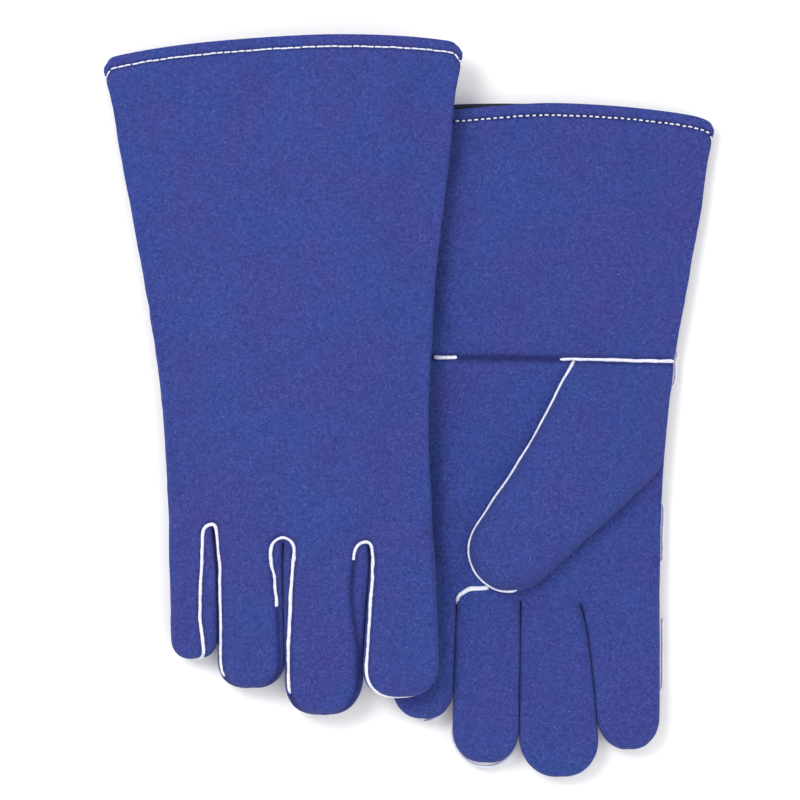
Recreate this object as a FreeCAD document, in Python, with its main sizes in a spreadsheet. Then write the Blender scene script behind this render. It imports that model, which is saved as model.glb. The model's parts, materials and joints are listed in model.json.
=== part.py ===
"""A pair of 14 inch gauntlet welding gloves in split leather, laid flat on a bench.

The right-hand glove lies back up and rests over one edge of the left-hand glove, which lies palm up. Each glove
has a one-piece back, a gunn-cut palm, separate finger and thumb fronts, welted seams, a cuff front with a folded
hem, and a lining. Each piece is drawn in its glove's own frame: x across the hand, with the index finger on the
side of +x in the right-hand glove, y from the wrist seam towards the cuff's mouth, and z from the palm's outer
face (z = 0) to the back's. The left-hand glove is the mirror image of it, turned over.
"""

import FreeCAD, Part
import math
import os

import Sketcher
from FreeCAD import Placement, Rotation, Vector

# name, value (mm or degrees), meaning
DIMENSIONS = [
    ("leather", 1.4, "thickness of the split leather"),
    ("lining", 1.2, "thickness of the lining"),
    ("welt", 1.2, "thickness of a welt strip in its seam"),
    ("proud", 1.0, "how far a welt stands out of its seam"),
    ("ease", 0.1, "space between the lining and the leather's edge"),
    ("seam", 1.2, "width of the wrist welt"),
    ("thick", 16, "thickness of the empty hand, fingers and cuff"),
    ("clearance", 0.4, "space at each finger's bend"),
    ("wrist_half", 75, "half the width at the wrist seam"),
    ("mouth_half", 95.5, "half the width at the cuff's mouth"),
    ("cuff_length", 128, "wrist seam to the mouth's corners"),
    ("mouth_rise", 9, "how far the mouth's middle stands past its corners"),
    ("hem_width", 8, "width of the folded hem"),
    ("hem_thread", 0.8, "width of the hem's stitch line"),
    ("knuckle", 126, "wrist seam to the roots of the fingers"),
    ("little_width", 28, "width of the little finger"),
    ("ring_width", 32, "width of the ring finger"),
    ("middle_width", 37, "width of the middle finger"),
    ("index_width", 33.2, "width of the index finger"),
    ("finger_space", 2.6, "space between the leather of two fingers"),
    ("little_length", 61, "length of the little finger"),
    ("ring_length", 80, "length of the ring finger"),
    ("middle_length", 90, "length of the middle finger"),
    ("index_length", 79, "length of the index finger"),
    ("thumb_thick", 11.8, "thickness of the thumb"),
    ("thumb_space", 0.3, "space between the thumb and the palm"),
    ("thumb_top_x", 18, "thumb's fold, x of its end near the wrist"),
    ("thumb_top_y", 3, "thumb's fold, distance from the wrist of that end"),
    ("thumb_low_x", 45, "thumb's fold, x of its end near the fingers"),
    ("thumb_low_y", 76, "thumb's fold, distance from the wrist of that end"),
    ("thumb_tip_x", 8.5, "centre of the round thumb tip, across"),
    ("thumb_tip_y", 98.5, "centre of the round thumb tip, along"),
    ("thumb_tip_r", 22.5, "radius of the thumb tip"),
    ("hole_y", 52, "wrist seam to the middle of the hole between hand and thumb"),
    ("hole_long", 30, "length of that hole"),
    ("hole_wide", 18, "width of that hole"),
    ("hole_inset", 6, "distance of that hole from the thumb's fold"),
    ("wing_end", 78, "wrist seam to the lower edge of the thumb wing"),
    ("wing_inner_x", 48, "x of the thumb wing's lower inner corner"),
    ("right_turn", 2.2, "right-hand glove's turn on the bench"),
    ("right_tilt", 3.2, "right-hand glove's tilt across its width"),
    ("right_edge", 10.7, "height of its little-finger edge at the palm"),
    ("finger_droop", 8, "droop of its little, ring and middle fingers"),
    ("left_turn", 1, "left-hand glove's turn on the bench"),
    ("left_x", 124.6, "left-hand glove's wrist from the right-hand one's"),
    ("left_y", 30.3, "left-hand glove's wrist, how far below the other"),
]
VALUES = {name: value for name, value, meaning in DIMENSIONS}
FINGERS = ("little", "ring", "middle", "index")


class Size:
    """A length that keeps both its value and the sheet expression that drives it."""

    def __init__(self, value, text):
        self.value, self.text = float(value), text

    def _with(self, other, sign, value, swap=False):
        other = other if isinstance(other, Size) else Size(other, str(other))
        first, second = (other, self) if swap else (self, other)
        return Size(value(first.value, second.value), f"({first.text} {sign} {second.text})")

    def __add__(self, other):
        return self._with(other, "+", lambda a, b: a + b)

    def __sub__(self, other):
        return self._with(other, "-", lambda a, b: a - b)

    def __rsub__(self, other):
        return self._with(other, "-", lambda a, b: a - b, swap=True)

    def __mul__(self, other):
        return self._with(other, "*", lambda a, b: a * b)

    def __rmul__(self, other):
        return self._with(other, "*", lambda a, b: a * b, swap=True)

    def __truediv__(self, other):
        return self._with(other, "/", lambda a, b: a / b)

    def __neg__(self):
        return -1 * self


def dim(name):
    return Size(VALUES[name], "dims." + name)


ZERO = Size(0, "0")
LEATHER, LINING, WELT, PROUD = dim("leather"), dim("lining"), dim("welt"), dim("proud")
THICK, EASE, SEAM = dim("thick"), dim("ease"), dim("seam")
HAND_HALF = (dim("little_width") + dim("ring_width") + dim("middle_width") + dim("index_width")
             + 3 * dim("finger_space")) / 2
WELT_LOW = THICK - LEATHER - WELT      # lower face of a side or finger welt
BACK_LOW = THICK - LEATHER             # inner face of the back
HEM_START = dim("cuff_length") - dim("hem_width")
PANEL_END = HEM_START - dim("hem_thread")
THUMB_TOP = -dim("thumb_space")        # the thumb lies under the palm
THUMB_LOW = THUMB_TOP - dim("thumb_thick")


# ---- sketches

def fix_point(sketch, edge, end, x, y):
    """Holds a point at (x, y) from the origin; a zero puts it on the axis."""
    for axis_line, kind, size in ((-2, "DistanceX", x), (-1, "DistanceY", y)):
        if size.value == 0:
            sketch.addConstraint(Sketcher.Constraint("PointOnObject", edge, end, axis_line))
        else:
            number = sketch.addConstraint(Sketcher.Constraint(kind, -1, 1, edge, end, size.value))
            sketch.setExpression(f"Constraints[{number}]", size.text)


def draw_outline(sketch, corners, arcs=None):
    """A closed outline, anticlockwise. arcs gives, for an edge's number, the y of its arc's centre and 1 where
    the arc runs anticlockwise, or -1 where it runs clockwise. Each arc is symmetric about x = 0."""
    arcs = arcs or {}
    points = [Vector(x.value, y.value, 0) for x, y in corners]
    ends = []
    for i, start in enumerate(points):
        finish = points[(i + 1) % len(points)]
        if i not in arcs:
            sketch.addGeometry(Part.LineSegment(start, finish))
            ends.append((1, 2))
            continue
        centre_y, turn = arcs[i]
        centre = Vector(0, centre_y.value, 0)
        first, last = (start, finish) if turn > 0 else (finish, start)
        circle = Part.Circle(centre, Vector(0, 0, 1), (start - centre).Length)
        angles = [math.atan2(p.y - centre.y, p.x - centre.x) for p in (first, last)]
        sketch.addGeometry(Part.ArcOfCircle(circle, angles[0], angles[1]))
        ends.append((1, 2) if turn > 0 else (2, 1))
    for i in range(len(points)):
        follower = (i + 1) % len(points)
        sketch.addConstraint(Sketcher.Constraint("Coincident", i, ends[i][1], follower, ends[follower][0]))
    for i, (x, y) in enumerate(corners):
        fix_point(sketch, i, ends[i][0], x, y)
    for i, (centre_y, _) in arcs.items():
        number = sketch.addConstraint(Sketcher.Constraint("DistanceY", -1, 1, i, 3, centre_y.value))
        sketch.setExpression(f"Constraints[{number}]", centre_y.text)


def draw_thumb(sketch, side):
    """The thumb's outline: its fold line, two straight sides, and a round tip that the sides run into."""
    top = Vector(side * VALUES["thumb_top_x"], -VALUES["thumb_top_y"], 0)
    low = Vector(side * VALUES["thumb_low_x"], -VALUES["thumb_low_y"], 0)
    centre = Vector(-side * VALUES["thumb_tip_x"], -VALUES["thumb_tip_y"], 0)
    radius = VALUES["thumb_tip_r"]

    def touch(corner, turn):
        reach = corner - centre
        angle = math.atan2(reach.y, reach.x) + turn * math.acos(radius / reach.Length)
        return angle, centre + Vector(radius * math.cos(angle), radius * math.sin(angle), 0)

    welt_angle, welt_touch = touch(top, side)
    fold_angle, fold_touch = touch(low, -side)
    first, last = (welt_angle, fold_angle) if side > 0 else (fold_angle, welt_angle)
    circle = Part.Circle(centre, Vector(0, 0, 1), radius)
    sketch.addGeometry(Part.LineSegment(top, welt_touch))
    sketch.addGeometry(Part.ArcOfCircle(circle, first, last))
    sketch.addGeometry(Part.LineSegment(fold_touch, low))
    sketch.addGeometry(Part.LineSegment(low, top))
    near, far = (1, 2) if side > 0 else (2, 1)
    sketch.addConstraint(Sketcher.Constraint("Tangent", 0, 2, 1, near))
    sketch.addConstraint(Sketcher.Constraint("Tangent", 1, far, 2, 1))
    sketch.addConstraint(Sketcher.Constraint("Coincident", 2, 2, 3, 1))
    sketch.addConstraint(Sketcher.Constraint("Coincident", 3, 2, 0, 1))
    fix_point(sketch, 3, 2, side * dim("thumb_top_x"), -dim("thumb_top_y"))
    fix_point(sketch, 3, 1, side * dim("thumb_low_x"), -dim("thumb_low_y"))
    fix_point(sketch, 1, 3, -side * dim("thumb_tip_x"), -dim("thumb_tip_y"))
    number = sketch.addConstraint(Sketcher.Constraint("Radius", 1, radius))
    sketch.setExpression(f"Constraints[{number}]", dim("thumb_tip_r").text)


# ---- outlines, as corners and arcs

def cuff_half(y):
    return dim("wrist_half") + (dim("mouth_half") - dim("wrist_half")) * y / dim("cuff_length")


def hand_edge(y):
    """Half the hand's width at a distance y from the wrist towards the fingers."""
    return dim("wrist_half") + (HAND_HALF - dim("wrist_half")) * y / dim("knuckle")


def mouth_centre(half, y):
    rise = dim("mouth_rise")
    return y + rise - (half * half + rise * rise) / (2 * rise)


def hand_outline(inset):
    wrist, root = dim("wrist_half") - inset, HAND_HALF - inset
    return [(-root, -dim("knuckle")), (root, -dim("knuckle")), (wrist, -SEAM / 2), (-wrist, -SEAM / 2)], {}


def back_outline():
    half = cuff_half(PANEL_END)
    corners = [(-HAND_HALF, -dim("knuckle")), (HAND_HALF, -dim("knuckle")), (dim("wrist_half"), ZERO),
               (half, PANEL_END), (-half, PANEL_END), (-dim("wrist_half"), ZERO)]
    return corners, {3: (mouth_centre(half, PANEL_END), 1)}


def cuff_outline(inset):
    wrist, half = cuff_half(SEAM / 2) - inset, cuff_half(PANEL_END) - inset
    corners = [(-wrist, SEAM / 2), (wrist, SEAM / 2), (half, PANEL_END), (-half, PANEL_END)]
    return corners, {2: (mouth_centre(half, PANEL_END), 1)}


def band_outline(low, high):
    """A band round the cuff, between two arcs like the mouth's."""
    low_half, high_half = cuff_half(low), cuff_half(high)
    corners = [(-low_half, low), (low_half, low), (high_half, high), (-high_half, high)]
    return corners, {0: (mouth_centre(low_half, low), -1), 2: (mouth_centre(high_half, high), 1)}


def finger_outline(width, length, root=ZERO):
    """From the root at y = root to a full round tip at y = -length."""
    half, turn = width / 2, width / 2 - length
    return [(-half, root), (-half, turn), (half, turn), (half, root)], {1: (turn, 1)}


def wing_outline(side):
    """The part of the thumb's leather that fills the palm beside the thumb's root."""
    return [(side * dim("thumb_top_x"), -SEAM / 2), (side * dim("wrist_half"), -SEAM / 2),
            (side * hand_edge(dim("wing_end")), -dim("wing_end")),
            (side * dim("wing_inner_x"), -dim("wing_end"))], {}


def hole_outline(side):
    """The way from the hand into the thumb, beside the thumb's fold."""
    slope = (dim("thumb_low_x") - dim("thumb_top_x")) / (dim("thumb_low_y") - dim("thumb_top_y"))
    middle_y = dim("hole_y")
    outer = dim("thumb_top_x") + slope * (middle_y - dim("thumb_top_y")) - dim("hole_inset")
    inner = outer - dim("hole_wide")
    half, lean = dim("hole_long") / 2, slope * dim("hole_long") / 2
    return [(side * (outer - lean), half - middle_y), (side * (inner - lean), half - middle_y),
            (side * (inner + lean), -half - middle_y), (side * (outer + lean), -half - middle_y)], {}


def welt_strip_outline(edge_side):
    """The side seam's welt, from the fingers to the wrist, on the side that edge_side names."""
    wrist, root = dim("wrist_half"), HAND_HALF
    return [(edge_side * (root - LEATHER), -dim("knuckle")), (edge_side * (root + PROUD), -dim("knuckle")),
            (edge_side * (wrist + PROUD), -SEAM / 2), (edge_side * (wrist - LEATHER), -SEAM / 2)], {}


# ---- features

def add_sketch(body, name, outlines, level):
    """A sketch on the body's own XY plane, raised to the height level."""
    plane = next(o for o in body.Origin.OriginFeatures if o.Role == "XY_Plane")
    sketch = body.newObject("Sketcher::SketchObject", name)
    sketch.AttachmentSupport = [(plane, "")]
    sketch.MapMode = "FlatFace"
    sketch.AttachmentOffset = Placement(Vector(0, 0, level.value), Rotation())
    sketch.setExpression("AttachmentOffset.Base.z", level.text)
    for number, (corners, arcs) in enumerate(outlines):
        if number:
            draw_second(sketch, corners)
        else:
            draw_outline(sketch, corners, arcs)
    return sketch


def draw_second(sketch, corners):
    """A second closed outline, of straight edges only."""
    first = sketch.GeometryCount
    points = [Vector(x.value, y.value, 0) for x, y in corners]
    for i, start in enumerate(points):
        sketch.addGeometry(Part.LineSegment(start, points[(i + 1) % len(points)]))
    for i, (x, y) in enumerate(corners):
        follower = first + (i + 1) % len(points)
        sketch.addConstraint(Sketcher.Constraint("Coincident", first + i, 2, follower, 1))
        fix_point(sketch, first + i, 1, x, y)


def new_body(name, outlines, level, height):
    """A body whose first feature is a pad of the outlines, from level up by height."""
    body = FreeCAD.ActiveDocument.addObject("PartDesign::Body", name)
    body.Label = name
    sketch = add_sketch(body, name + "_outline", outlines, level)
    pad = body.newObject("PartDesign::Pad", name + "_pad")
    pad.Profile = sketch
    pad.Length = height.value
    pad.setExpression("Length", height.text)
    return body


def cut_through(body, name, outline, level, height):
    """A pocket upwards from level."""
    pocket = body.newObject("PartDesign::Pocket", body.Name + name)
    pocket.Profile = add_sketch(body, body.Name + name + "_outline", [outline], level)
    pocket.Length = height.value
    pocket.setExpression("Length", height.text)
    pocket.Reversed = True


def hollow(body, is_open, wall):
    """Hollows the body, with walls inside its faces, and leaves open the faces that is_open picks."""
    FreeCAD.ActiveDocument.recompute()
    solid = body.Tip
    names = [f"Face{i + 1}" for i, face in enumerate(solid.Shape.Faces) if is_open(face.CenterOfMass)]
    shell = body.newObject("PartDesign::Thickness", body.Name + "_shell")
    shell.Base = (solid, names)
    shell.Value = wall.value
    shell.setExpression("Value", wall.text)
    shell.Reversed = True


def near(value, size):
    return abs(value - size.value) < 0.01


# ---- pieces of one glove, each in the glove's frame

def make_hand(glove, side):
    """The pieces that stay with the hand: back, palm, thumb wing, cuff, welts and linings."""
    wall_height = WELT_LOW
    back = new_body(glove + "_back_panel", [back_outline()], BACK_LOW, LEATHER)

    palm = new_body(glove + "_palm_panel", [hand_outline(ZERO)], ZERO, wall_height)
    hollow(palm, lambda c: near(c.z, wall_height) or near(c.y, -dim("knuckle")) or near(c.y, -SEAM / 2), LEATHER)
    cut_through(palm, "_wing_cut", wing_outline(side), -LEATHER, THICK + LEATHER)
    cut_through(palm, "_thumb_hole", hole_outline(side), -LEATHER, 3 * LEATHER)

    wing = new_body(glove + "_thumb_wing", [wing_outline(side)], ZERO, wall_height)
    edge_middle = side * (dim("wrist_half") + hand_edge(dim("wing_end"))) / 2
    hollow(wing, lambda c: c.z > LEATHER.value and abs(c.x - edge_middle.value) > 1, LEATHER)

    cuff_height = BACK_LOW
    cuff = new_body(glove + "_cuff_front", [cuff_outline(ZERO)], ZERO, cuff_height)
    hollow(cuff, lambda c: near(c.z, cuff_height) or (c.z > LEATHER.value and abs(c.x) < 1), LEATHER)

    hem = new_body(glove + "_cuff_hem", [band_outline(HEM_START, dim("cuff_length"))], ZERO, THICK)
    hollow(hem, is_band_end, 2 * LEATHER)
    thread = new_body(glove + "_hem_thread", [band_outline(PANEL_END, HEM_START)], ZERO, THICK)
    hollow(thread, is_band_end, LEATHER)

    wrist = dim("wrist_half")
    seam_corners = [(-wrist, -SEAM / 2), (wrist, -SEAM / 2), (wrist, SEAM / 2), (-wrist, SEAM / 2)]
    wrist_welt = new_body(glove + "_wrist_welt", [(seam_corners, {})], ZERO, LEATHER)
    welts = new_body(glove + "_side_welts", [welt_strip_outline(1), welt_strip_outline(-1)], WELT_LOW, WELT)

    inset = LEATHER + EASE
    inner_height = THICK - 2 * LEATHER
    hand_lining = new_body(glove + "_hand_lining", [hand_outline(inset)], LEATHER, inner_height)
    hollow(hand_lining, lambda c: near(c.y, -dim("knuckle")) or near(c.y, -SEAM / 2), LINING)
    cut_through(hand_lining, "_thumb_hole", hole_outline(side), ZERO, LEATHER + 2 * LINING)
    cuff_lining = new_body(glove + "_cuff_lining", [cuff_outline(inset)], LEATHER, inner_height)
    hollow(cuff_lining, is_cuff_end, LINING)
    return [back, palm, wing, cuff, hem, thread, wrist_welt, welts, hand_lining, cuff_lining]


def is_band_end(centre):
    """The two curved end faces of a band: midway across and midway up."""
    return abs(centre.x) < 1 and 1 < centre.z < THICK.value - 1


def is_cuff_end(centre):
    """The two end faces of the cuff's lining."""
    return abs(centre.x) < 1 and LEATHER.value + 1 < centre.z < BACK_LOW.value - 1


def make_finger(glove, finger):
    """One finger in its own frame, with its root at y = 0 and its tip at -y."""
    width, length = dim(finger + "_width"), dim(finger + "_length")
    name = f"{glove}_{finger}_"
    full = finger_outline(width, length)
    back = new_body(name + "back", [full], BACK_LOW, LEATHER)
    front = new_body(name + "front", [full], ZERO, WELT_LOW)
    hollow(front, lambda c: near(c.z, WELT_LOW) or near(c.y, ZERO), LEATHER)
    welt = new_body(name + "welt", [finger_outline(width + 2 * PROUD, length + PROUD)], WELT_LOW, WELT)
    inside = finger_outline(width - 2 * LEATHER, length - LEATHER, root=PROUD)
    cut_through(welt, "_middle", inside, WELT_LOW - WELT, 3 * WELT)
    inset = LEATHER + EASE
    lining_outline = finger_outline(width - 2 * inset, length - inset)
    lining = new_body(name + "lining", [lining_outline], LEATHER, THICK - 2 * LEATHER)
    hollow(lining, lambda c: near(c.y, ZERO), LINING)
    return [back, front, welt, lining]


def extrude(name, profile, level, height):
    solid = FreeCAD.ActiveDocument.addObject("Part::Extrusion", name)
    solid.Base = profile
    solid.DirMode = "Custom"
    solid.Dir = Vector(0, 0, 1)
    solid.Solid = True
    solid.LengthFwd = height.value
    solid.setExpression("LengthFwd", height.text)
    solid.Placement.Base.z = level.value
    solid.setExpression("Placement.Base.z", level.text)
    return solid


def boolean(kind, name, base, tool):
    result = FreeCAD.ActiveDocument.addObject("Part::" + kind, name)
    result.Base, result.Tool = base, tool
    result.Label = name
    return result


def offset(name, profile, amount):
    result = FreeCAD.ActiveDocument.addObject("Part::Offset2D", name)
    result.Source = profile
    result.Value = amount.value
    result.setExpression("Value", amount.text)
    result.Join = "Intersection"
    return result


def make_thumb(glove, side):
    """The thumb in the glove's frame, folded flat under the palm: outer leather with its own fold side, the
    panel that faces the palm with the hole into the hand, the welt round the sewn side and tip, and a lining."""
    doc = FreeCAD.ActiveDocument
    name = glove + "_thumb_"
    outline = doc.addObject("Sketcher::SketchObject", name + "outline")
    draw_thumb(outline, side)
    hole = doc.addObject("Sketcher::SketchObject", name + "hole")
    corners, arcs = hole_outline(side)
    draw_outline(hole, corners, arcs)
    sewn = doc.addObject("Sketcher::SketchObject", name + "sewn")
    far = 2 * dim("knuckle")
    sewn_corners = [(side * dim("thumb_top_x"), PROUD), (-side * far, PROUD), (-side * far, -far),
                    (side * PROUD, -far), (side * PROUD, -dim("thumb_tip_y"))]
    draw_outline(sewn, sewn_corners)
    doc.recompute()

    inner = offset(name + "inner", outline, -LEATHER)
    outer = offset(name + "outer", outline, PROUD)
    lining_edge = offset(name + "lining_edge", outline, -(LEATHER + EASE))
    cavity_edge = offset(name + "cavity_edge", outline, -(LEATHER + EASE + LINING))
    height, back_low = dim("thumb_thick"), THUMB_TOP - LEATHER
    welt_low = back_low - WELT

    box = extrude(name + "box", outline, THUMB_LOW, height - LEATHER)
    room = extrude(name + "room", inner, THUMB_LOW + LEATHER, height)
    tray = boolean("Cut", name + "tray", box, room)
    notch = extrude(name + "notch", sewn, welt_low, height)
    front = boolean("Cut", name + "front", tray, notch)

    plate = extrude(name + "plate", outline, back_low, LEATHER)
    plate_hole = extrude(name + "plate_hole", hole, back_low - LEATHER, 3 * LEATHER)
    back = boolean("Cut", name + "back", plate, plate_hole)

    strip = extrude(name + "strip", outer, welt_low, WELT)
    middle = extrude(name + "middle", inner, welt_low - WELT, 3 * WELT)
    ring = boolean("Cut", name + "ring_strip", strip, middle)
    sewn_side = extrude(name + "sewn_side", sewn, welt_low - WELT, 3 * WELT)
    welt = boolean("Common", name + "welt", ring, sewn_side)

    sleeve = extrude(name + "sleeve", lining_edge, THUMB_LOW + LEATHER, height - 2 * LEATHER)
    cavity = extrude(name + "cavity", cavity_edge, THUMB_LOW + LEATHER + LINING, height - 2 * (LEATHER + LINING))
    pouch = boolean("Cut", name + "pouch", sleeve, cavity)
    pouch_hole = extrude(name + "pouch_hole", hole, back_low - 2 * LINING, 3 * LINING)
    lining = boolean("Cut", name + "lining", pouch, pouch_hole)
    return [front, back, welt, lining]


# ---- where each glove and finger lies

def glove_frame(glove):
    """The glove's place on the bench. The right-hand glove leans across the left-hand one's edge; the left-hand
    glove is turned over, so its palm is on top."""
    if glove == "right":
        height = VALUES["right_edge"] + HAND_HALF.value * math.sin(math.radians(VALUES["right_tilt"]))
        turn = Rotation(Vector(0, 0, 1), VALUES["right_turn"])
        return Placement(Vector(0, 0, height), turn * Rotation(Vector(0, 1, 0), -VALUES["right_tilt"]))
    turn = Rotation(Vector(0, 0, 1), -VALUES["left_turn"])
    place = Vector(VALUES["left_x"], -VALUES["left_y"], THICK.value)
    return Placement(place, turn * Rotation(Vector(0, 1, 0), 180))


def finger_droop(glove, finger):
    """The right-hand glove's index finger rests on the other glove, and its other fingers hang to the bench."""
    return VALUES["finger_droop"] if glove == "right" and finger != "index" else 0


def finger_hinge(glove, finger):
    """The middle of the finger's bend, in the glove's frame: at its root, on the face that lies on top."""
    place = -HAND_HALF.value
    for name in FINGERS:
        if name == finger:
            break
        place += VALUES[name + "_width"] + VALUES["finger_space"]
    side = 1 if glove == "right" else -1
    gap = VALUES["clearance"] + VALUES["thick"] * math.sin(math.radians(finger_droop(glove, finger)))
    top = THICK.value if glove == "right" else 0
    return Vector(side * (place + VALUES[finger + "_width"] / 2), -VALUES["knuckle"] - gap, top)


def finger_frame(glove, finger):
    """The finger's place in the glove's frame, turned down about its bend by its droop."""
    hinge = finger_hinge(glove, finger)
    root = Vector(hinge.x, hinge.y, 0)
    down = Rotation(Vector(1, 0, 0), finger_droop(glove, finger))
    return Placement(hinge, down) * Placement(root - hinge, Rotation())


def check(doc, pieces):
    doc.recompute()
    for item in doc.Objects:
        if "Invalid" in item.State or "Error" in item.State:
            raise RuntimeError(f"{item.Name}: {item.State}")
    for piece, _ in pieces:
        if piece.Shape.isNull() or not piece.Shape.isValid() or piece.Shape.Volume <= 0:
            raise RuntimeError(piece.Label + " has no valid shape")


def main():
    """Builds both gloves, stands the pair's footprint on the origin and writes one STEP file for each piece."""
    doc = FreeCAD.newDocument("welding_gloves")
    sheet = doc.addObject("Spreadsheet::Sheet", "dims")
    for row, (name, value, meaning) in enumerate(DIMENSIONS, 1):
        sheet.set(f"A{row}", meaning)
        sheet.set(f"B{row}", str(value))
        sheet.setAlias(f"B{row}", name)
    doc.recompute()

    pieces = []                        # each piece with its place before the pair is centred
    for glove, side in (("right", 1), ("left", -1)):
        frame = glove_frame(glove)
        pieces += [(piece, frame) for piece in make_hand(glove, side) + make_thumb(glove, side)]
        for finger in FINGERS:
            place = frame * finger_frame(glove, finger)
            pieces += [(piece, place) for piece in make_finger(glove, finger)]
    check(doc, pieces)

    for piece, place in pieces:
        piece.Placement = place
    doc.recompute()
    whole = FreeCAD.BoundBox()
    for piece, _ in pieces:
        whole.add(piece.Shape.optimalBoundingBox(False))
    to_origin = Placement(Vector(-whole.Center.x, -whole.Center.y, -whole.ZMin), Rotation())
    for piece, place in pieces:
        piece.Placement = to_origin * place
    check(doc, pieces)

    os.makedirs("parts", exist_ok=True)
    for piece, _ in pieces:
        piece.Shape.exportStep(f"parts/{piece.Label}.step")
    print(len(pieces), "pieces; pair measures", round(whole.XLength, 2), round(whole.YLength, 2),
          round(whole.ZLength, 2), "mm")
    return to_origin, pieces


TO_ORIGIN, PIECES = main()
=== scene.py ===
"""The looks of a pair of welding gloves: leather shells, welts, stitches and linings round the CAD frame.

Each glove is modelled flat in its own frame, in millimetres: x across the hand with the thumb's side at +x,
y from the wrist seam to the cuff's mouth, z from the palm's outer face to the back's. It is one quad mesh,
which is wrinkled, pulled in at its seams and draped, and then cut along its seams into the pieces that the
CAD names.
"""

import json
import math
import random

import bpy
import numpy as np
from mathutils import Matrix, Vector, noise
from mathutils.bvhtree import BVHTree
from mathutils.kdtree import KDTree

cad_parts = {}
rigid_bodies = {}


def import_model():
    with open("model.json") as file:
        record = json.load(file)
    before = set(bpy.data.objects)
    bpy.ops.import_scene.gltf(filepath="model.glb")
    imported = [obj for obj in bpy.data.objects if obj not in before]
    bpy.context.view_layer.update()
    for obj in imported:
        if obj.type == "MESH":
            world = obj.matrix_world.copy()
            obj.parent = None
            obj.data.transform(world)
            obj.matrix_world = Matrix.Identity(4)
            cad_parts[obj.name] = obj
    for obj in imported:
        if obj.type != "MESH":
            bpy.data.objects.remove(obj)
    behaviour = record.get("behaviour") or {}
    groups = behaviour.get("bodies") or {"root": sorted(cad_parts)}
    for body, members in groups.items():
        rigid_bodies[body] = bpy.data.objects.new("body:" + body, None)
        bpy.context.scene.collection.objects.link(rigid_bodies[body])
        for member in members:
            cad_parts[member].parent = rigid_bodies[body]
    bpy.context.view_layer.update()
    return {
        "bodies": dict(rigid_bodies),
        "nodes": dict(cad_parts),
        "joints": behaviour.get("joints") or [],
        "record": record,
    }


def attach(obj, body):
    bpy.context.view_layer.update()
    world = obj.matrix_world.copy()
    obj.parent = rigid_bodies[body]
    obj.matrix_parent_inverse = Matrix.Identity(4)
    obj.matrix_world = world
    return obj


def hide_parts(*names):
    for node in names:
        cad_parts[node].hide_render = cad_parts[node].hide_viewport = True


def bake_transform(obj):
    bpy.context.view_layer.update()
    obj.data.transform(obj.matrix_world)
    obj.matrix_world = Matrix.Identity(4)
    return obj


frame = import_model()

MM = 0.001
FINGERS = ("little", "ring", "middle", "index")
ACROSS = 8       # quads across the back or the front of a finger
WALL = 8         # quads round each side of a finger or of the hand
ROW = 4.3        # length of a quad along the glove
OUTER_INSET = {1: 4.2, -1: 2.4}   # where a rounded side begins inside the outline: on the back, on the palm
LEATHER = 1.4    # thickness
U_RADIUS = 4.6   # radius of the open U where two fingers part
HIDDEN = 2.2     # how deep a welt lies in its seam where it doesn't show


def named(items, name):
    return next(item for item in items if item["name"] == name)


def smooth(t):
    t = np.clip(t, 0, 1)
    return t * t * (3 - 2 * t)


def unit(vectors):
    return vectors / np.maximum(np.linalg.norm(vectors, axis=1), 1e-9)[:, None]


def run_along(points):
    """The length of the polyline up to each of its points."""
    return np.concatenate([[0], np.cumsum(np.linalg.norm(np.diff(points, axis=0), axis=1))])


def points_at(values, run, at):
    """The values, which change along a run, at some places of it."""
    return np.stack([np.interp(at, run, column) for column in values.T], axis=1)


def curve_through(points, count):
    """count points evenly along the polyline."""
    points = np.array(points, float)
    run = run_along(points)
    return points_at(points, run, np.linspace(0, run[-1], count))


def side_of(path, normals):
    """The direction across a path on a surface, at each of its points."""
    return unit(np.cross(np.gradient(path, axis=0), normals))


def soften(points, rounds):
    points = points.copy()
    for _ in range(rounds):
        points[1:-1] = (points[:-2] + 2 * points[1:-1] + points[2:]) / 4
    return points


def tree_of(points):
    tree = KDTree(len(points))
    for i, point in enumerate(points):
        tree.insert(point, i)
    tree.balance()
    return tree


def surface_of(skin):
    return BVHTree.FromPolygons([Vector(p) for p in skin.points], skin.faces)


def new_object(name, data):
    obj = bpy.data.objects.new(name, data)
    bpy.context.scene.collection.objects.link(obj)
    return obj


# ---- the glove's frame and sizes, read from the CAD model


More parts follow.
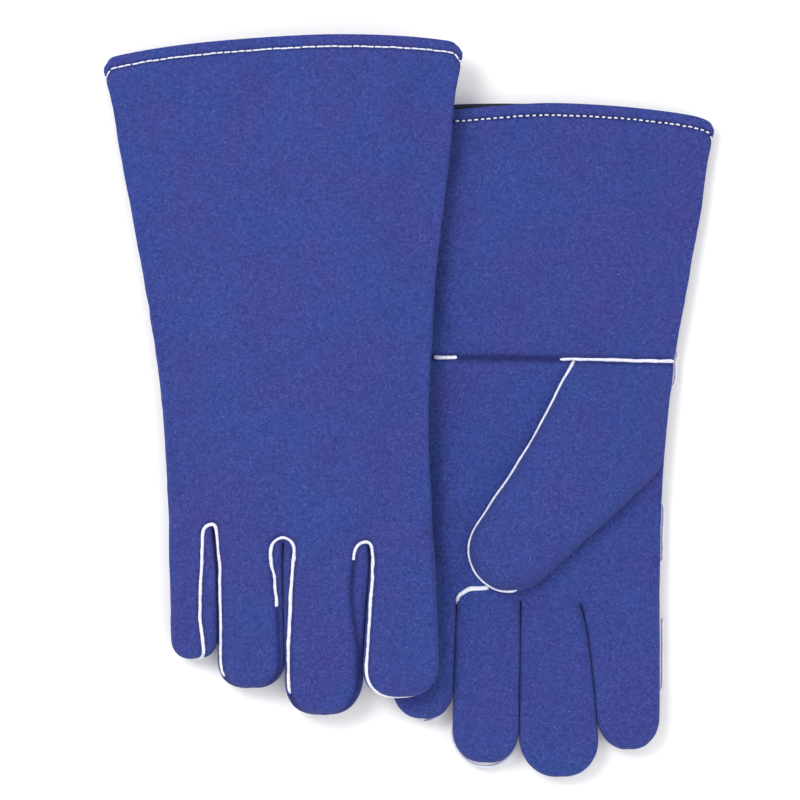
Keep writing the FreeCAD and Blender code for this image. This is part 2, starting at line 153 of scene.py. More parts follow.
class Glove:
    """One glove's frame, the sizes that the CAD model gives, and how its leather lies."""

    def __init__(self, name, back_up, layout):
        self.name, self.back_up = name, back_up
        vars(self).update(layout)
        mouth = named(frame["record"]["mounts"], name + "_cuff_mouth")
        y = Vector(mouth["axis"]).normalized()
        x = -Vector(named(frame["joints"], name + "_index_bend")["axis"]).normalized()
        z = x.cross(y) if back_up else y.cross(x)
        self.matrix = Matrix((x, y, z)).transposed().to_4x4()
        wrist, palm = self.box("wrist_welt"), self.box("palm_panel")
        middle = self.matrix.inverted() @ Vector(mouth["pos_m"]) / MM
        origin = Vector((middle.x, (wrist[0].y + wrist[1].y) / 2, palm[0].z))
        self.matrix.translation = self.matrix @ origin * MM
        hem = self.box("cuff_hem")[1]
        self.thick = self.box("back_panel")[1].z
        self.mouth_half = hem.x
        self.mouth_y = hem.y - self.mouth_lag
        self.wrist_half = self.box("wrist_welt")[1].x
        self.hand_half = max(self.box(f + "_back")[1].x for f in FINGERS)
        self.knuckle = self.box("index_back")[1].y
        self.tips = {}
        for finger, stretch in zip(FINGERS, self.stretch):
            self.tips[finger] = self.box(finger + "_back")[0].y - stretch

    def box(self, node):
        """The node's lowest and highest corner in the glove's frame, in millimetres."""
        inverse = self.matrix.inverted()
        points = [inverse @ v.co / MM for v in frame["nodes"][f"{self.name}_{node}"].data.vertices]
        return tuple(Vector([pick(values) for values in zip(*points)]) for pick in (min, max))

    def world(self, points):
        m = np.array(self.matrix, float)
        return (points * MM) @ m[:3, :3].T + m[:3, 3]

    def local(self, points):
        m = np.array(self.matrix.inverted(), float)
        return (points @ m[:3, :3].T + m[:3, 3]) / MM

    def half_width(self, y):
        """Half the glove's width at each y."""
        ys = [-300, -126, -85, -60, -30, 0, 20, 45, 80, 105, 128, 140]
        hand, wrist, mouth = self.hand_half, self.wrist_half, self.mouth_half
        flare = mouth - wrist
        halves = [hand + 1, hand + 0.6, hand - 0.2, hand + 0.8, hand + 3, wrist, wrist + 0.12 * flare,
                  wrist + 0.32 * flare, wrist + 0.6 * flare, wrist + 0.74 * flare, mouth, mouth]
        return np.interp(y, ys, halves)

    def mouth(self, x, lag=0.0):
        rise, corner = 7.4, 4.4
        out = np.abs(x / self.mouth_half)
        return self.mouth_y - rise * out ** 2.4 - corner * np.clip((out - 0.93) / 0.07, 0, 1) ** 2.2 - lag


# Where a welt shows: stretches (from, to) by distance from the wrist, on the little finger's side and on the
# index finger's side of each finger, and of the hand.
EVERYWHERE = [(200, -300)]
RIGHT_SHOWN = {
    "little": ([], [(-100, -186)]),
    "ring": ([(-100, -194)], [(-100, -158)]),
    "middle": ([(-100, -204)], [(-100, -131)]),
    "index": (EVERYWHERE, [(-204, -230)]),
    "side": ([], []),
}
LEFT_SHOWN = {
    "little": ([], EVERYWHERE),
    "ring": ([(-182, -230)], [(-196, -230)]),
    "middle": ([], []),
    "index": ([], [(-128, -172)]),
    "side": ([], [(7, -13), (-73, -105)]),
}

# How far inside a finger's outline its back ends on its two sides, as (distance past the crotch, inset).
SLIM = [(0, 1.3), (90, 1.3)]
RIGHT_INSETS = {
    "little": (SLIM, [(0, 6.0), (20, 8.8), (42, 9.4), (57, 6.8), (66, 2.2)]),
    "ring": (SLIM, [(0, 6.0), (10, 6.4), (23, 3.6), (40, 2.4), (75, 1.0)]),
    "middle": ([(0, 5.6), (10, 6.2), (33, 4.0), (60, 1.8), (80, 1.2)],
               [(0, 4.8), (14, 8.0), (32, 8.6), (55, 4.0), (66, 1.3)]),
    "index": (SLIM, SLIM),
}
LEFT_INSETS = {finger: ([(0, 4.0), (90, 3.0)], [(0, 4.0), (90, 3.0)]) for finger in FINGERS}
LEFT_INSETS["ring"] = ([(0, 4.0), (64, 3.0), (74, 0.6)], [(0, 4.0), (70, 3.0), (80, 0.6)])


# How each glove's leather lies:
# - gaps: x of the three lines between the fingers, at the knuckles and at the tips; gap_curve bends them, and
#   lean shifts them at the knuckles
# - roots: y where the fingers part, from the knuckles, at the hand's five lines
# - stretch: how far each finger's tip lies past its CAD piece
# - tip_shape: the length of the round tips, as a share of their half width, and how square they are
# - outer_seam: how many quads of the rounded sides belong to the back's leather
# - mouth_lag: how far the mouth's lower layer lies behind the upper one
# - proud: how far the fingers' welts stand out where they show
RIGHT = dict(
    gaps=((-43.3, -47.2), (-9, -11.4), (37.2, 28.0)), gap_curve=1.0, lean=(1.6, -0.6, 2.2),
    roots=(12, 12.6, 4, 0.5, 1), insets=RIGHT_INSETS, stretch=(-5, -7, -2, 2), tip_shape=(0.84, 2.7),
    outer_seam=5, mouth_lag=0, shown=RIGHT_SHOWN, proud={})
LEFT = dict(
    gaps=((-36.5, -38), (-3.5, -3), (27, 39.5)), gap_curve=0.6, lean=(0, 0, 0),
    roots=(5, 3, 2.5, 1.5, 1), insets=LEFT_INSETS, stretch=(1, 4, 1, -3), tip_shape=(1.0, 2.25),
    outer_seam=4, mouth_lag=3.4, shown=LEFT_SHOWN,
    proud={"little": 1.9, "ring": 2.6, "middle": 1.9, "index": 1.9})


# ---- the base mesh of a glove


class Shell:
    """Vertices in the glove's frame, quads, and the name of the piece that each quad belongs to."""

    def __init__(self):
        self.points, self.faces, self.labels = [], [], []

    def add(self, point):
        self.points.append(point)
        return len(self.points) - 1

    def quad(self, a, b, c, d, label):
        corners = [a, b, c, d]
        corners = [v for i, v in enumerate(corners) if v != corners[i - 1]]
        if len(corners) > 2:
            self.faces.append(corners)
            self.labels.append(label)

    def join_rings(self, a, b, labels, left, right):
        """Quads between two rings, in the back's and the front's leather.

        left and right are how many quads of those two sides belong to the back's."""
        count = len(a)
        back = count // 2 - WALL
        for k in range(count):
            upper = k < back + right or k >= count - left
            n = (k + 1) % count
            self.quad(a[k], b[k], b[n], a[n], labels[0 if upper else 1])


def profile(share, power):
    """Height of a pillow's section, 1 in the middle and 0 at its edge."""
    return (1 - np.clip(np.abs(share), 0, 1) ** power) ** (1 / power)


def wall_points(half, insets, sizes, power):
    """Points round a side, from the back to the palm, as (distance inside the outline, height)."""
    start, end = (math.acos(((half - inset) / half) ** (power / 2)) for inset in insets)
    points = []
    for k in range(1, WALL):
        angle = start - (start + end) * k / WALL
        height = math.copysign(abs(math.sin(angle)) ** (2 / power), angle)
        x = half * math.cos(angle) ** (2 / power)
        points.append((half - x, height * sizes[0 if height > 0 else 1]))
    return points


def finger_edges(glove, y):
    """x of the five lines that bound the fingers, at distance y."""
    length = 84.0
    share = np.clip((glove.knuckle - y) / length, 0, 1) ** glove.gap_curve
    upright = float(smooth((glove.knuckle + 4 - y) / 14))
    inner = [a + (b - a) * share - lean * (1 - upright) for (a, b), lean in zip(glove.gaps, glove.lean)]
    half = float(glove.half_width(y))
    return [-half] + inner + [half]


def finger_insets(glove, i, y):
    """How far inside its outline the flat back and palm of finger i end: (back, palm) for each side."""
    past = glove.knuckle + 6 - y
    sides = []
    for stretch, outer in zip(glove.insets[FINGERS[i]], (i == 0, i == 3)):
        inset = float(np.interp(past, *zip(*stretch)))
        sides.append((OUTER_INSET[1], OUTER_INSET[-1]) if outer else (inset, 1.8))
    return sides


def crotch_line(glove, x):
    """y where two fingers part, for each x."""
    xs = [-glove.hand_half] + finger_edges(glove, glove.knuckle)[1:-1] + [glove.hand_half]
    return glove.knuckle + np.interp(x, xs, glove.roots)


def heights(glove, y):
    """How far the back (1) and the palm (-1) lie off the middle plane at y, and how square they are there."""
    rise = 1.2 * (1 - smooth((y - 20) / 100))
    flat = glove.thick / 2
    flare = smooth((y + 10) / 130)
    crowned, resting = (flat + rise, 3.0 - 0.7 * flare), (flat, 4.2 - 1.6 * flare)
    return {1: crowned, -1: resting} if glove.back_up else {1: resting, -1: crowned}


def hand_ring(glove, columns, y_of, bulge, narrow, shell):
    """One ring of the hand or cuff: 33 points across the back, the right wall, the front and the left wall.

    y_of(share, side) is the ring's y at a share of the half width, on the back (side 1) or the palm (-1).
    bulge tells how far the ring takes the fingers' section, and narrow how much narrower each side is."""
    mid = glove.thick / 2
    ring = []

    def put(share, side):
        y = float(y_of(share * (1 - OUTER_INSET[side] / glove.hand_half), side))
        half = float(glove.half_width(y)) - narrow
        size, power = heights(glove, y)[side]
        x = share * (half - OUTER_INSET[side])
        pillow = size * float(profile(x / half, power))
        if bulge > 0:
            pillow += bulge * (finger_height(glove, x, size, side) - pillow)
        ring.append(shell.add((x, y, mid + side * pillow)))

    def wall(way):
        """The points round one side: down the right one (way 1) or up the left one (way -1)."""
        y = float(y_of(way, 1) + y_of(way, -1)) / 2
        half = float(glove.half_width(y)) - narrow
        sizes, powers = zip(heights(glove, y)[1], heights(glove, y)[-1])
        points = wall_points(half, OUTER_INSET.values(), sizes, sum(powers) / 2)
        for k, (inside, height) in enumerate(points[::way]):
            across = way * (1 - inside / half)
            palm_share = (k + 1) / WALL if way == 1 else 1 - (k + 1) / WALL
            y = float(y_of(across, 1)) * (1 - palm_share) + float(y_of(across, -1)) * palm_share
            ring.append(shell.add((way * (half - inside), y, mid + height)))

    for share in columns:
        put(share, 1)
    wall(1)
    for share in columns[::-1]:
        put(share, -1)
    wall(-1)
    return ring


FINGER_POWER = 5.0   # how square a finger's section is
TIP_POWER = 2.8      # how square its tip is, seen from the side


def crown(share):
    """A finger's back and palm stand a little higher along its middle."""
    return 1 - 0.15 * share * share


def finger_height(glove, x, size, side):
    """Height of the row of finger knuckles at x."""
    edges = finger_edges(glove, glove.knuckle)
    for i, (left, right) in enumerate(zip(edges, edges[1:])):
        if left <= x <= right:
            low, high = (inset[0 if side > 0 else 1] for inset in finger_insets(glove, i, glove.knuckle))
            within = left + low + (right - high - left - low) * (x - left) / (right - left)
            share = (within - (left + right) / 2) / ((right - left) / 2)
            return size * float(profile(share, FINGER_POWER)) * crown(share)
    return 0.0


def columns_of(glove):
    """The back's 33 columns as shares of its half width inside the rounded sides, the same in every ring."""
    edges = finger_edges(glove, glove.knuckle)
    half = float(glove.half_width(glove.knuckle)) - OUTER_INSET[1]
    edges[0], edges[-1] = -half, half
    xs = []
    for left, right in zip(edges, edges[1:]):
        xs += [left + (right - left) * j / ACROSS for j in range(ACROSS)]
    return [x / half for x in xs + [edges[-1]]]


def build_hand(glove, shell):
    """The hand and cuff, from the mouth to the line where the fingers part. Returns the last ring."""
    columns = columns_of(glove)
    hem_depth = 6.4
    from_mouth = [0, 1.0, 2.6, 4.6, hem_depth, 8.2, 10.5]
    while from_mouth[-1] < glove.mouth_y - 6:
        from_mouth.append(from_mouth[-1] + ROW)
    from_mouth[-1] = glove.mouth_y
    rings, names = [], []
    for distance in from_mouth:
        share = distance / glove.mouth_y

        def y_of(across, side, share=share):
            x = across * glove.mouth_half
            behind = glove.mouth_lag * float(smooth((12 - x) / 60)) if side < 0 else 0.0
            return glove.mouth(x, behind) * (1 - share)

        rounding = 1.4 * max(0.0, 1 - distance / 8) ** 1.8
        rings.append(hand_ring(glove, columns, y_of, 0, rounding, shell))
        names.append("hem" if distance < hem_depth else "cuff")
    rows = 29
    for row in range(1, rows + 1):
        share = row / rows
        bulge = float(smooth((share - 0.84) / 0.16))

        def y_of(across, side, share=share):
            return share * crotch_line(glove, across * glove.hand_half)

        rings.append(hand_ring(glove, columns, y_of, bulge, 0, shell))
        names.append("hand")
    cover_hand(glove, shell, rings, names)
    return rings[-1]


def cover_hand(glove, shell, rings, names):
    """The quads between the hand's rings, in the leather of the part that each ring is named for."""
    leather = {"hem": ("cuff_hem", "cuff_hem"), "cuff": ("back_panel", "cuff_front"),
               "hand": ("back_panel", "palm_panel")}
    for a, b, name, next_name in zip(rings, rings[1:], names, names[1:]):
        labels = leather["hand" if next_name == "hand" else name]
        shell.join_rings(a, b, labels, glove.outer_seam, glove.outer_seam)


def build_fingers(glove, shell, last):
    """The four fingers, from the hand's last ring. Neighbours share the line where they part."""
    span = 4 * ACROSS
    front = last[span + WALL:2 * span + WALL + 1][::-1]
    outer_right = last[span + 1:span + WALL]
    outer_left = last[2 * span + WALL + 1:][::-1]
    saddles = [outer_left]
    for gap in range(1, 4):
        saddles.append(saddle(shell, last[gap * ACROSS], front[gap * ACROSS]))
    saddles.append(outer_right)
    for i, finger in enumerate(FINGERS):
        back_row = last[i * ACROSS:(i + 1) * ACROSS + 1]
        front_row = front[i * ACROSS:(i + 1) * ACROSS + 1]
        ring = back_row + saddles[i + 1] + front_row[::-1] + saddles[i][::-1]
        build_finger(glove, shell, i, finger, ring)


def saddle(shell, top, low):
    """The points down the wall between two fingers where they part."""
    a, b = np.array(shell.points[top]), np.array(shell.points[low])
    made = []
    for k in range(1, WALL):
        share = 0.5 - 0.5 * math.cos(math.pi * k / WALL)
        point = a + (b - a) * share
        point[1] -= 1.6 * math.sin(math.pi * share)
        made.append(shell.add(tuple(point)))
    return made


def build_finger(glove, shell, i, finger, ring):
    """One finger: the open U where it starts, its straight length and its round tip."""
    tip = glove.tips[finger]
    split = glove.knuckle - 8   # where the finger's own pieces start
    start = [np.array(shell.points[v]) for v in ring]
    rows = [("open", angle) for angle in (30, 60, 90)] + [("straight", split)]
    left, right = edges_near(glove, i, tip + 15)
    radius = (right - left) / 2 * glove.tip_shape[0]
    y, end = split, tip + radius
    steps = max(2, round((y - end) / ROW))
    rows += [("straight", y + (end - y) * k / steps) for k in range(1, steps + 1)]
    rows += [("tip", angle) for angle in (13, 26, 38, 50, 61, 71, 80, 86)]
    seams = [glove.outer_seam if finger == outer else 0 for outer in ("little", "index")]
    labels = ("back_panel", "palm_panel")
    for kind, value in rows:
        made = [shell.add(finger_point(glove, i, kind, value, k, corner, tip, radius))
                for k, corner in enumerate(start)]
        shell.join_rings(ring, made, labels, *seams)
        ring = made
        if (kind, value) == ("straight", split):
            labels = (finger + "_back", finger + "_front")
    left, right = edges_near(glove, i, tip)
    pole = shell.add(((left + right) / 2, tip, glove.thick / 2))
    shell.join_rings(ring, [pole] * len(ring), labels, *seams)


def edges_near(glove, i, y):
    """The outline of finger i at y: it just presses into its neighbours."""
    edges = finger_edges(glove, y)
    overlap = 0.12
    return edges[i] - (overlap if i > 0 else 0), edges[i + 1] + (overlap if i < 3 else 0)


def finger_point(glove, i, kind, value, k, start, tip, radius):
    """Point k of a finger's ring: across the back, down the right wall, across the front, up the left.

    value is the row's y where the finger is straight, and its angle in degrees in the open U and the tip."""
    opening, narrow, thin = 1.0, 1.0, 1.0
    if kind == "straight":
        y = value
    else:
        sine, cosine = math.sin(math.radians(value)), math.cos(math.radians(value))
    if kind == "open":
        opening = sine
        y = start[1] - U_RADIUS * (1 - cosine)
    if kind == "tip":
        y = tip + radius * (1 - sine)
        narrow = cosine ** (2 / glove.tip_shape[1])
        thin = (1 - sine ** TIP_POWER) ** (1 / TIP_POWER)
    left, right = edges_near(glove, i, y)
    centre = (left + right) / 2
    x, z = section_point(glove, i, k, y, (right - left) / 2)
    x = centre + x * narrow
    if kind == "open":
        inner = (x < centre and i > 0) or (x > centre and i < 3)
        x = start[0] + (x - start[0]) * (1.0 if inner else 0.5) * opening
    return (x, y, glove.thick / 2 + z * thin)


def section_point(glove, i, k, y, half):
    """Point k of the section of finger i at y, as (x from the finger's middle, height over its middle)."""
    sizes = [heights(glove, y)[side][0] for side in (1, -1)]
    low, high = finger_insets(glove, i, y)
    if k <= ACROSS:
        x, z = low[0] - half + (2 * half - low[0] - high[0]) * k / ACROSS, 1
    elif k < ACROSS + WALL:
        inside, z = wall_points(half, high, sizes, FINGER_POWER)[k - ACROSS - 1]
        x = half - inside
    elif k <= 2 * ACROSS + WALL:
        x, z = half - high[1] - (2 * half - low[1] - high[1]) * (k - ACROSS - WALL) / ACROSS, -1
    else:
        inside, z = wall_points(half, low, sizes, FINGER_POWER)[::-1][k - 2 * ACROSS - WALL - 1]
        x = -half + inside
    if abs(z) == 1:
        z *= sizes[0 if z > 0 else 1] * float(profile(x / half, FINGER_POWER))
    return x, z * crown(x / half)


# ---- the thumb


def arc(centre, radius, start, end, count):
    angles = np.radians(np.linspace(start, end, count))
    return np.stack([centre[0] + radius * np.cos(angles), centre[1] + radius * np.sin(angles)], axis=1)


THUMB_ACROSS = 16


def thumb_rails(glove):
    """The thumb's two long sides in plan, from the wrist's corner to the tip, and the station of its fold."""
    tip, tip_radius = (-8.5, -98.5), 22.5
    edge = float(glove.half_width(-30)) - 1.0
    fold_high, fold_low = (19.5, -1.5), (47, -77)
    welt_end, fold_end, point = 150.6, -43.8, -127
    wing, long, round_tip = 9, 20, 9
    welt_arc = arc(tip, tip_radius, welt_end, point + 360, round_tip)
    fold_arc = arc(tip, tip_radius, fold_end, point, round_tip)
    corner = (edge + 2.5, -2.5)
    welt_side = [fold_high, (11, -21), (0.5, -42), (-9, -58), (-19, -73), welt_arc[0]]
    wing_side = [corner, (edge, -30), (edge - 1.6, -56), (57, -67), fold_low]
    first = np.concatenate([curve_through([corner, fold_high], wing), curve_through(welt_side, long)[1:],
                            welt_arc[1:]])
    second = np.concatenate([curve_through(wing_side, wing), curve_through([fold_low, fold_arc[0]], long)[1:],
                             fold_arc[1:]])
    return first, second, wing - 1


def free_edge(first, second, fold):
    """The line round the thumb's free edge, from one end of its fold to the other."""
    return np.concatenate([first[fold:], second[::-1][:-fold + 3]])


def build_thumb(glove, palm):
    """The thumb as a pillow that lies on the palm, and the wing that joins it to the glove's side."""
    shell = Shell()
    first, second, fold = thumb_rails(glove)
    edge_line = free_edge(first, second, fold)
    wrist_line, side_line = first[:fold + 1], second[:5]
    top, low = [], []
    shares = [(1 - math.cos(math.pi * k / THUMB_ACROSS)) / 2 for k in range(THUMB_ACROSS + 1)]
    for j, (a, b) in enumerate(zip(first, second)):
        upper, under = [], []
        for k, share in enumerate(shares):
            x, y = a + (b - a) * share
            base = palm_height(palm, x, y)
            height = thumb_height(x, y, edge_line, wrist_line, side_line)
            rim = k in (0, THUMB_ACROSS) or j == len(first) - 1
            lift = 1.6 if j >= fold else 0.4
            upper.append(shell.add((x, y, base - lift - height)))
            if j >= fold:
                under.append(upper[-1] if rim else shell.add((x, y, base - 0.5)))
        top.append(upper)
        low.append(under)
    for j in range(len(top) - 1):
        for k in range(THUMB_ACROSS):
            label = "thumb_front" if j >= fold else "thumb_wing"
            shell.quad(top[j][k], top[j][k + 1], top[j + 1][k + 1], top[j + 1][k], label)
            if j >= fold:
                shell.quad(low[j][k], low[j + 1][k], low[j + 1][k + 1], low[j][k + 1], "thumb_back")
    return shell


def palm_height(palm, x, y):
    """z of the palm under (x, y), or of the glove's middle where the palm doesn't reach."""
    below, middle = -60, 7.0
    hit = palm.ray_cast(Vector((x, y, below)), Vector((0, 0, 1)))[0]
    return middle if hit is None else hit.z


def distance_to(line, x, y):
    a, b = line[:-1], line[1:]
    d = b - a
    p = np.array([x, y])
    t = np.clip(((p - a) * d).sum(1) / np.maximum((d * d).sum(1), 1e-9), 0, 1)
    return float(np.linalg.norm(a + d * t[:, None] - p, axis=1).min())


def thumb_height(x, y, edge_line, wrist_line, side_line):
    """How thick the thumb's pillow is: it thins out towards its edge, the wrist and the glove's side."""
    full = 10.6
    reaches = ((edge_line, 8.0), (wrist_line, 22.0), (side_line, 30.0))
    edge, wrist, side = (min(1.0, distance_to(line, x, y) / reach) for line, reach in reaches)
    rise = math.sin(wrist * math.pi / 2) * math.sin(side * math.pi / 2)
    return full * math.sqrt(1 - (1 - edge) ** 2) * rise


# ---- from base mesh to pieces


def subdivide(shell):
    """The shell after one Catmull-Clark subdivision, as (points, faces, labels)."""
    mesh = bpy.data.meshes.new("shell")
    mesh.from_pydata(shell.points, [], shell.faces)
    names = sorted(set(shell.labels))
    mesh.polygons.foreach_set("material_index", [names.index(label) for label in shell.labels])
    for _ in names:
        mesh.materials.append(None)
    obj = new_object("shell", mesh)
    modifier = obj.modifiers.new("Subdivision", "SUBSURF")
    modifier.levels = modifier.render_levels = 1
    modifier.boundary_smooth = "ALL"
    done = bpy.data.meshes.new_from_object(obj.evaluated_get(bpy.context.evaluated_depsgraph_get()))
    points = np.array([v.co for v in done.vertices], float)
    faces = [tuple(p.vertices) for p in done.polygons]
    labels = [names[p.material_index] for p in done.polygons]
    bpy.data.objects.remove(obj)
    return points, faces, labels


def normals_of(points, faces):
    """Area-weighted normals at the points of a mesh of quads."""
    normals = np.zeros_like(points)
    quads = np.array(faces)
    cross = np.cross(points[quads[:, 2]] - points[quads[:, 0]], points[quads[:, 3]] - points[quads[:, 1]])
    for k in range(4):
        np.add.at(normals, quads[:, k], cross)
    return unit(normals)


class Skin:
    """A subdivided shell: it is wrinkled and draped as a whole, then cut into pieces along its labels."""

    def __init__(self, glove, shell):
        self.glove = glove
        self.points, self.faces, self.labels = subdivide(shell)
        self.flat = self.points.copy()             # where the points lay in the flat pattern
        self.shade = np.zeros(len(self.points))    # painted shade along the seams: 1 on a seam, 0 away from it

    def normals(self):
        return normals_of(self.points, self.faces)

    def keep_above_bench(self, gap):
        world = self.glove.world(self.points)
        world[:, 2] = np.maximum(world[:, 2], gap)
        self.points = self.glove.local(world)

    def borders(self, first, second):
        """The lines where faces of one group of labels meet faces of the other, as lists of vertices."""
        sides = {}
        for face, label in zip(self.faces, self.labels):
            for k, v in enumerate(face):
                sides.setdefault(frozenset((v, face[k - 1])), []).append(label)

        def meet(found):
            return len(found) == 2 and any(a in first and b in second for a, b in (found, found[::-1]))

        return chains([tuple(edge) for edge, found in sides.items() if meet(found)])


def chains(edges):
    """Edges joined end to end into lines."""
    near = {}
    for a, b in edges:
        near.setdefault(a, []).append(b)
        near.setdefault(b, []).append(a)
    lines, used = [], set()
    ends = [v for v in near if len(near[v]) != 2]
    for start in ends + list(near):
        for step in near[start]:
            line = [start]
            while frozenset((line[-1], step)) not in used:
                used.add(frozenset((line[-1], step)))
                line.append(step)
                onward = [n for n in near[step] if frozenset((step, n)) not in used]
                if len(near[step]) != 2 or not onward:
                    break
                step = onward[0]
            if len(line) > 1:
                lines.append(line)
    return lines


def fractal(points, scale, seed):
    """Smooth noise at each point, about -1 to 1, with features of the given size."""
    offset = Vector((seed * 17.3, seed * 5.1, seed * 9.7))
    fade, spread, octaves = 1.0, 2.0, 2
    return np.array([noise.fractal(Vector(p) / scale + offset, fade, spread, octaves) for p in points])


def wrinkle(skin, seed, fingers=True):
    """Low, soft undulations of the leather, which fade out where two fingers touch."""
    normals = skin.normals()
    wide = fractal(skin.flat * np.array([1, 0.6, 1]), 34, seed)
    fine = fractal(skin.flat, 9, seed + 3)
    height = wide * 0.65 + fine * 0.2
    if fingers:
        height *= 1 - touching(skin)
    skin.points += normals * height[:, None]


def touching(skin):
    """1 on the walls where two fingers touch, and 0 away from them."""
    shares = []
    for x, y, _ in skin.flat:
        inner = finger_edges(skin.glove, y)[1:-1]
        between = math.exp(-(min(abs(x - edge) for edge in inner) / 2.2) ** 2)
        shares.append(between * float(smooth((skin.glove.knuckle + 14 - y) / 8)))
    return np.array(shares)


def pull_in(skin, lines, depth, reach):
    """The leather dips along its seams, and painted shade darkens it a little there."""
    tree = tree_of(skin.points[sorted({v for line in lines for v in line})])
    distance = np.array([tree.find(p)[2] for p in skin.points])
    dip = np.exp(-(distance / reach) ** 2)
    skin.points -= skin.normals() * (depth * dip)[:, None]
    # painted shade along the seams, which the leather's material darkens by
    skin.shade = np.maximum(skin.shade, np.exp(-distance / reach))


def relax(skin, values, share, rounds):
    """Evens out values at the vertices: each round moves each by its share towards its neighbours' mean."""
    pairs = ((v, face[k - 1]) for face in skin.faces for k, v in enumerate(face))
    edges = np.array(sorted({tuple(sorted(pair)) for pair in pairs}))
    count = np.zeros(len(values))
    np.add.at(count, edges.ravel(), 1)
    for _ in range(rounds):
        total = np.zeros_like(values)
        np.add.at(total, edges[:, 0], values[edges[:, 1]])
        np.add.at(total, edges[:, 1], values[edges[:, 0]])
        values = values + share[:, None] * (total / count[:, None] - values)
    return values


def even_knuckles(skin, seams):
    """Takes the crease out of the leather where the hand turns into fingers, between the seams."""
    near = np.exp(-((skin.flat[:, 1] - crotch_line(skin.glove, skin.flat[:, 0])) / 9) ** 2)
    near[[v for line in seams for v in line]] = 0
    skin.points = relax(skin, skin.points, near * 0.8, 14)


def puff(skin, seams):
    """Cloth simulation: with a little air inside, the leather swells and buckles between its seams."""
    mesh = bpy.data.meshes.new("cloth")
    mesh.from_pydata((skin.points * MM).tolist(), [], skin.faces)
    obj = new_object("cloth", mesh)
    group = obj.vertex_groups.new(name="held")
    held = held_points(skin, seams)
    group.add(held.tolist(), 1.0, "REPLACE")
    cloth = obj.modifiers.new("Cloth", "CLOTH")
    settings = dict(vertex_group_mass="held", quality=5, mass=0.3, tension_stiffness=30,
                    compression_stiffness=30, shear_stiffness=12, bending_stiffness=1.5,
                    shrink_min=-0.03, use_pressure=True, uniform_pressure_force=0.8)
    for name, value in settings.items():
        setattr(cloth.settings, name, value)
    cloth.settings.effector_weights.gravity = 0
    frames = 12
    cloth.point_cache.frame_end = frames
    for number in range(1, frames + 1):
        bpy.context.scene.frame_set(number)
    done = obj.evaluated_get(bpy.context.evaluated_depsgraph_get()).data
    moved = np.array([v.co for v in done.vertices], float) / MM - skin.points
    bpy.context.scene.frame_set(1)
    bpy.data.objects.remove(obj)
    furthest = 2.4
    length = np.linalg.norm(moved, axis=1)
    moved *= (np.minimum(length, furthest) / np.maximum(length, 1e-9))[:, None]
    resting = (skin.points[:, 2] < skin.glove.thick / 2) == skin.glove.back_up
    moved[resting, 2] *= 0.3
    free = np.full(len(moved), 0.8)
    free[held] = 0
    skin.points += relax(skin, moved, free, 5)


def held_points(skin, seams):
    """The vertices that the cloth keeps: those on seams and on the mouth's rim, and the rounded sides."""
    held = np.abs(skin.normals()[:, 2]) < 0.75
    held[[v for line in seams for v in line]] = True
    held |= skin.flat[:, 1] > skin.glove.mouth_y - 12
    return np.flatnonzero(held)


def drape(skin):
    """The right glove sags off its thumb and off the left glove, and its fingers droop to the bench."""
    knuckle = skin.glove.knuckle
    finger_of = finger_names(skin)
    x, y = skin.points[:, 0], skin.points[:, 1]
    cuff = smooth((30 - x) / 65)
    hand = smooth((-20 - x) / 42)
    share = smooth((y + 20) / 40)
    full_sag = 8.6
    sag = full_sag * (cuff * share + hand * (1 - share))
    droop = np.zeros(len(y))
    past = np.maximum(0, knuckle - 4 - y)
    onset = 10
    for finger, angle in (("little", 3.0), ("ring", 7.4), ("middle", 7.6), ("index", 0.6)):
        mine = finger_of == finger
        droop[mine] = math.tan(math.radians(angle)) * (np.sqrt(past[mine] ** 2 + onset ** 2) - onset)
    skin.points[:, 2] -= sag + droop


def finger_names(skin):
    """For each vertex, the finger whose pieces it is on, or hand."""
    names = np.array(["hand"] * len(skin.flat), dtype=object)
    for finger in FINGERS:
        pieces = (finger + "_back", finger + "_front")
        names[[v for face, label in zip(skin.faces, skin.labels) if label in pieces for v in face]] = finger
    return names


def make_object(glove, name, points, faces, normals=None, shade=None):
    """An object in the row frame from points in the glove's frame."""
    mesh = bpy.data.meshes.new(f"{glove.name}_{name}")
    flip = not glove.back_up
    world = glove.world(points)
    world[:, 2] = np.maximum(world[:, 2], 0.0001)
    mesh.from_pydata(world.tolist(), [], [f[::-1] if flip else f for f in faces])
    mesh.polygons.foreach_set("use_smooth", [True] * len(mesh.polygons))
    if shade is not None:
        attribute = mesh.attributes.new("shade", "FLOAT", "POINT")
        attribute.data.foreach_set("value", shade.astype(np.float32))
    mesh.update()
    if normals is not None:
        turned = normals @ np.array(glove.matrix.to_3x3(), float).T
        mesh.normals_split_custom_set_from_vertices(turned.tolist())
    return new_object(f"{glove.name}_{name}_skin", mesh)


def cut_piece(skin, name, labels, outer=0.0, inner=LEATHER, keep=None):
    """The faces with these labels as a closed sheet between two depths inside the skin."""
    faces = [f for f, label in zip(skin.faces, skin.labels) if label in labels]
    if keep is not None:
        faces = [f for f in faces if keep(skin.flat[f[0]])]
    used = sorted({v for f in faces for v in f})
    index = {v: i for i, v in enumerate(used)}
    normals = skin.normals()[used]
    points = skin.points[used]
    count = len(used)
    both = np.concatenate([points - normals * outer, points - normals * inner])
    outside = [tuple(index[v] for v in f) for f in faces]
    inside = [tuple(v + count for v in f[::-1]) for f in outside]
    seen = dict.fromkeys((face[k - 1], v) for face in outside for k, v in enumerate(face))
    rim = [(b, a, a + count, b + count) for a, b in seen if (b, a) not in seen]
    shade = skin.shade[used]
    return make_object(skin.glove, name, both, outside + inside + rim,
                       np.concatenate([normals, -normals]), np.concatenate([shade, shade]))


# ---- welts and stitches


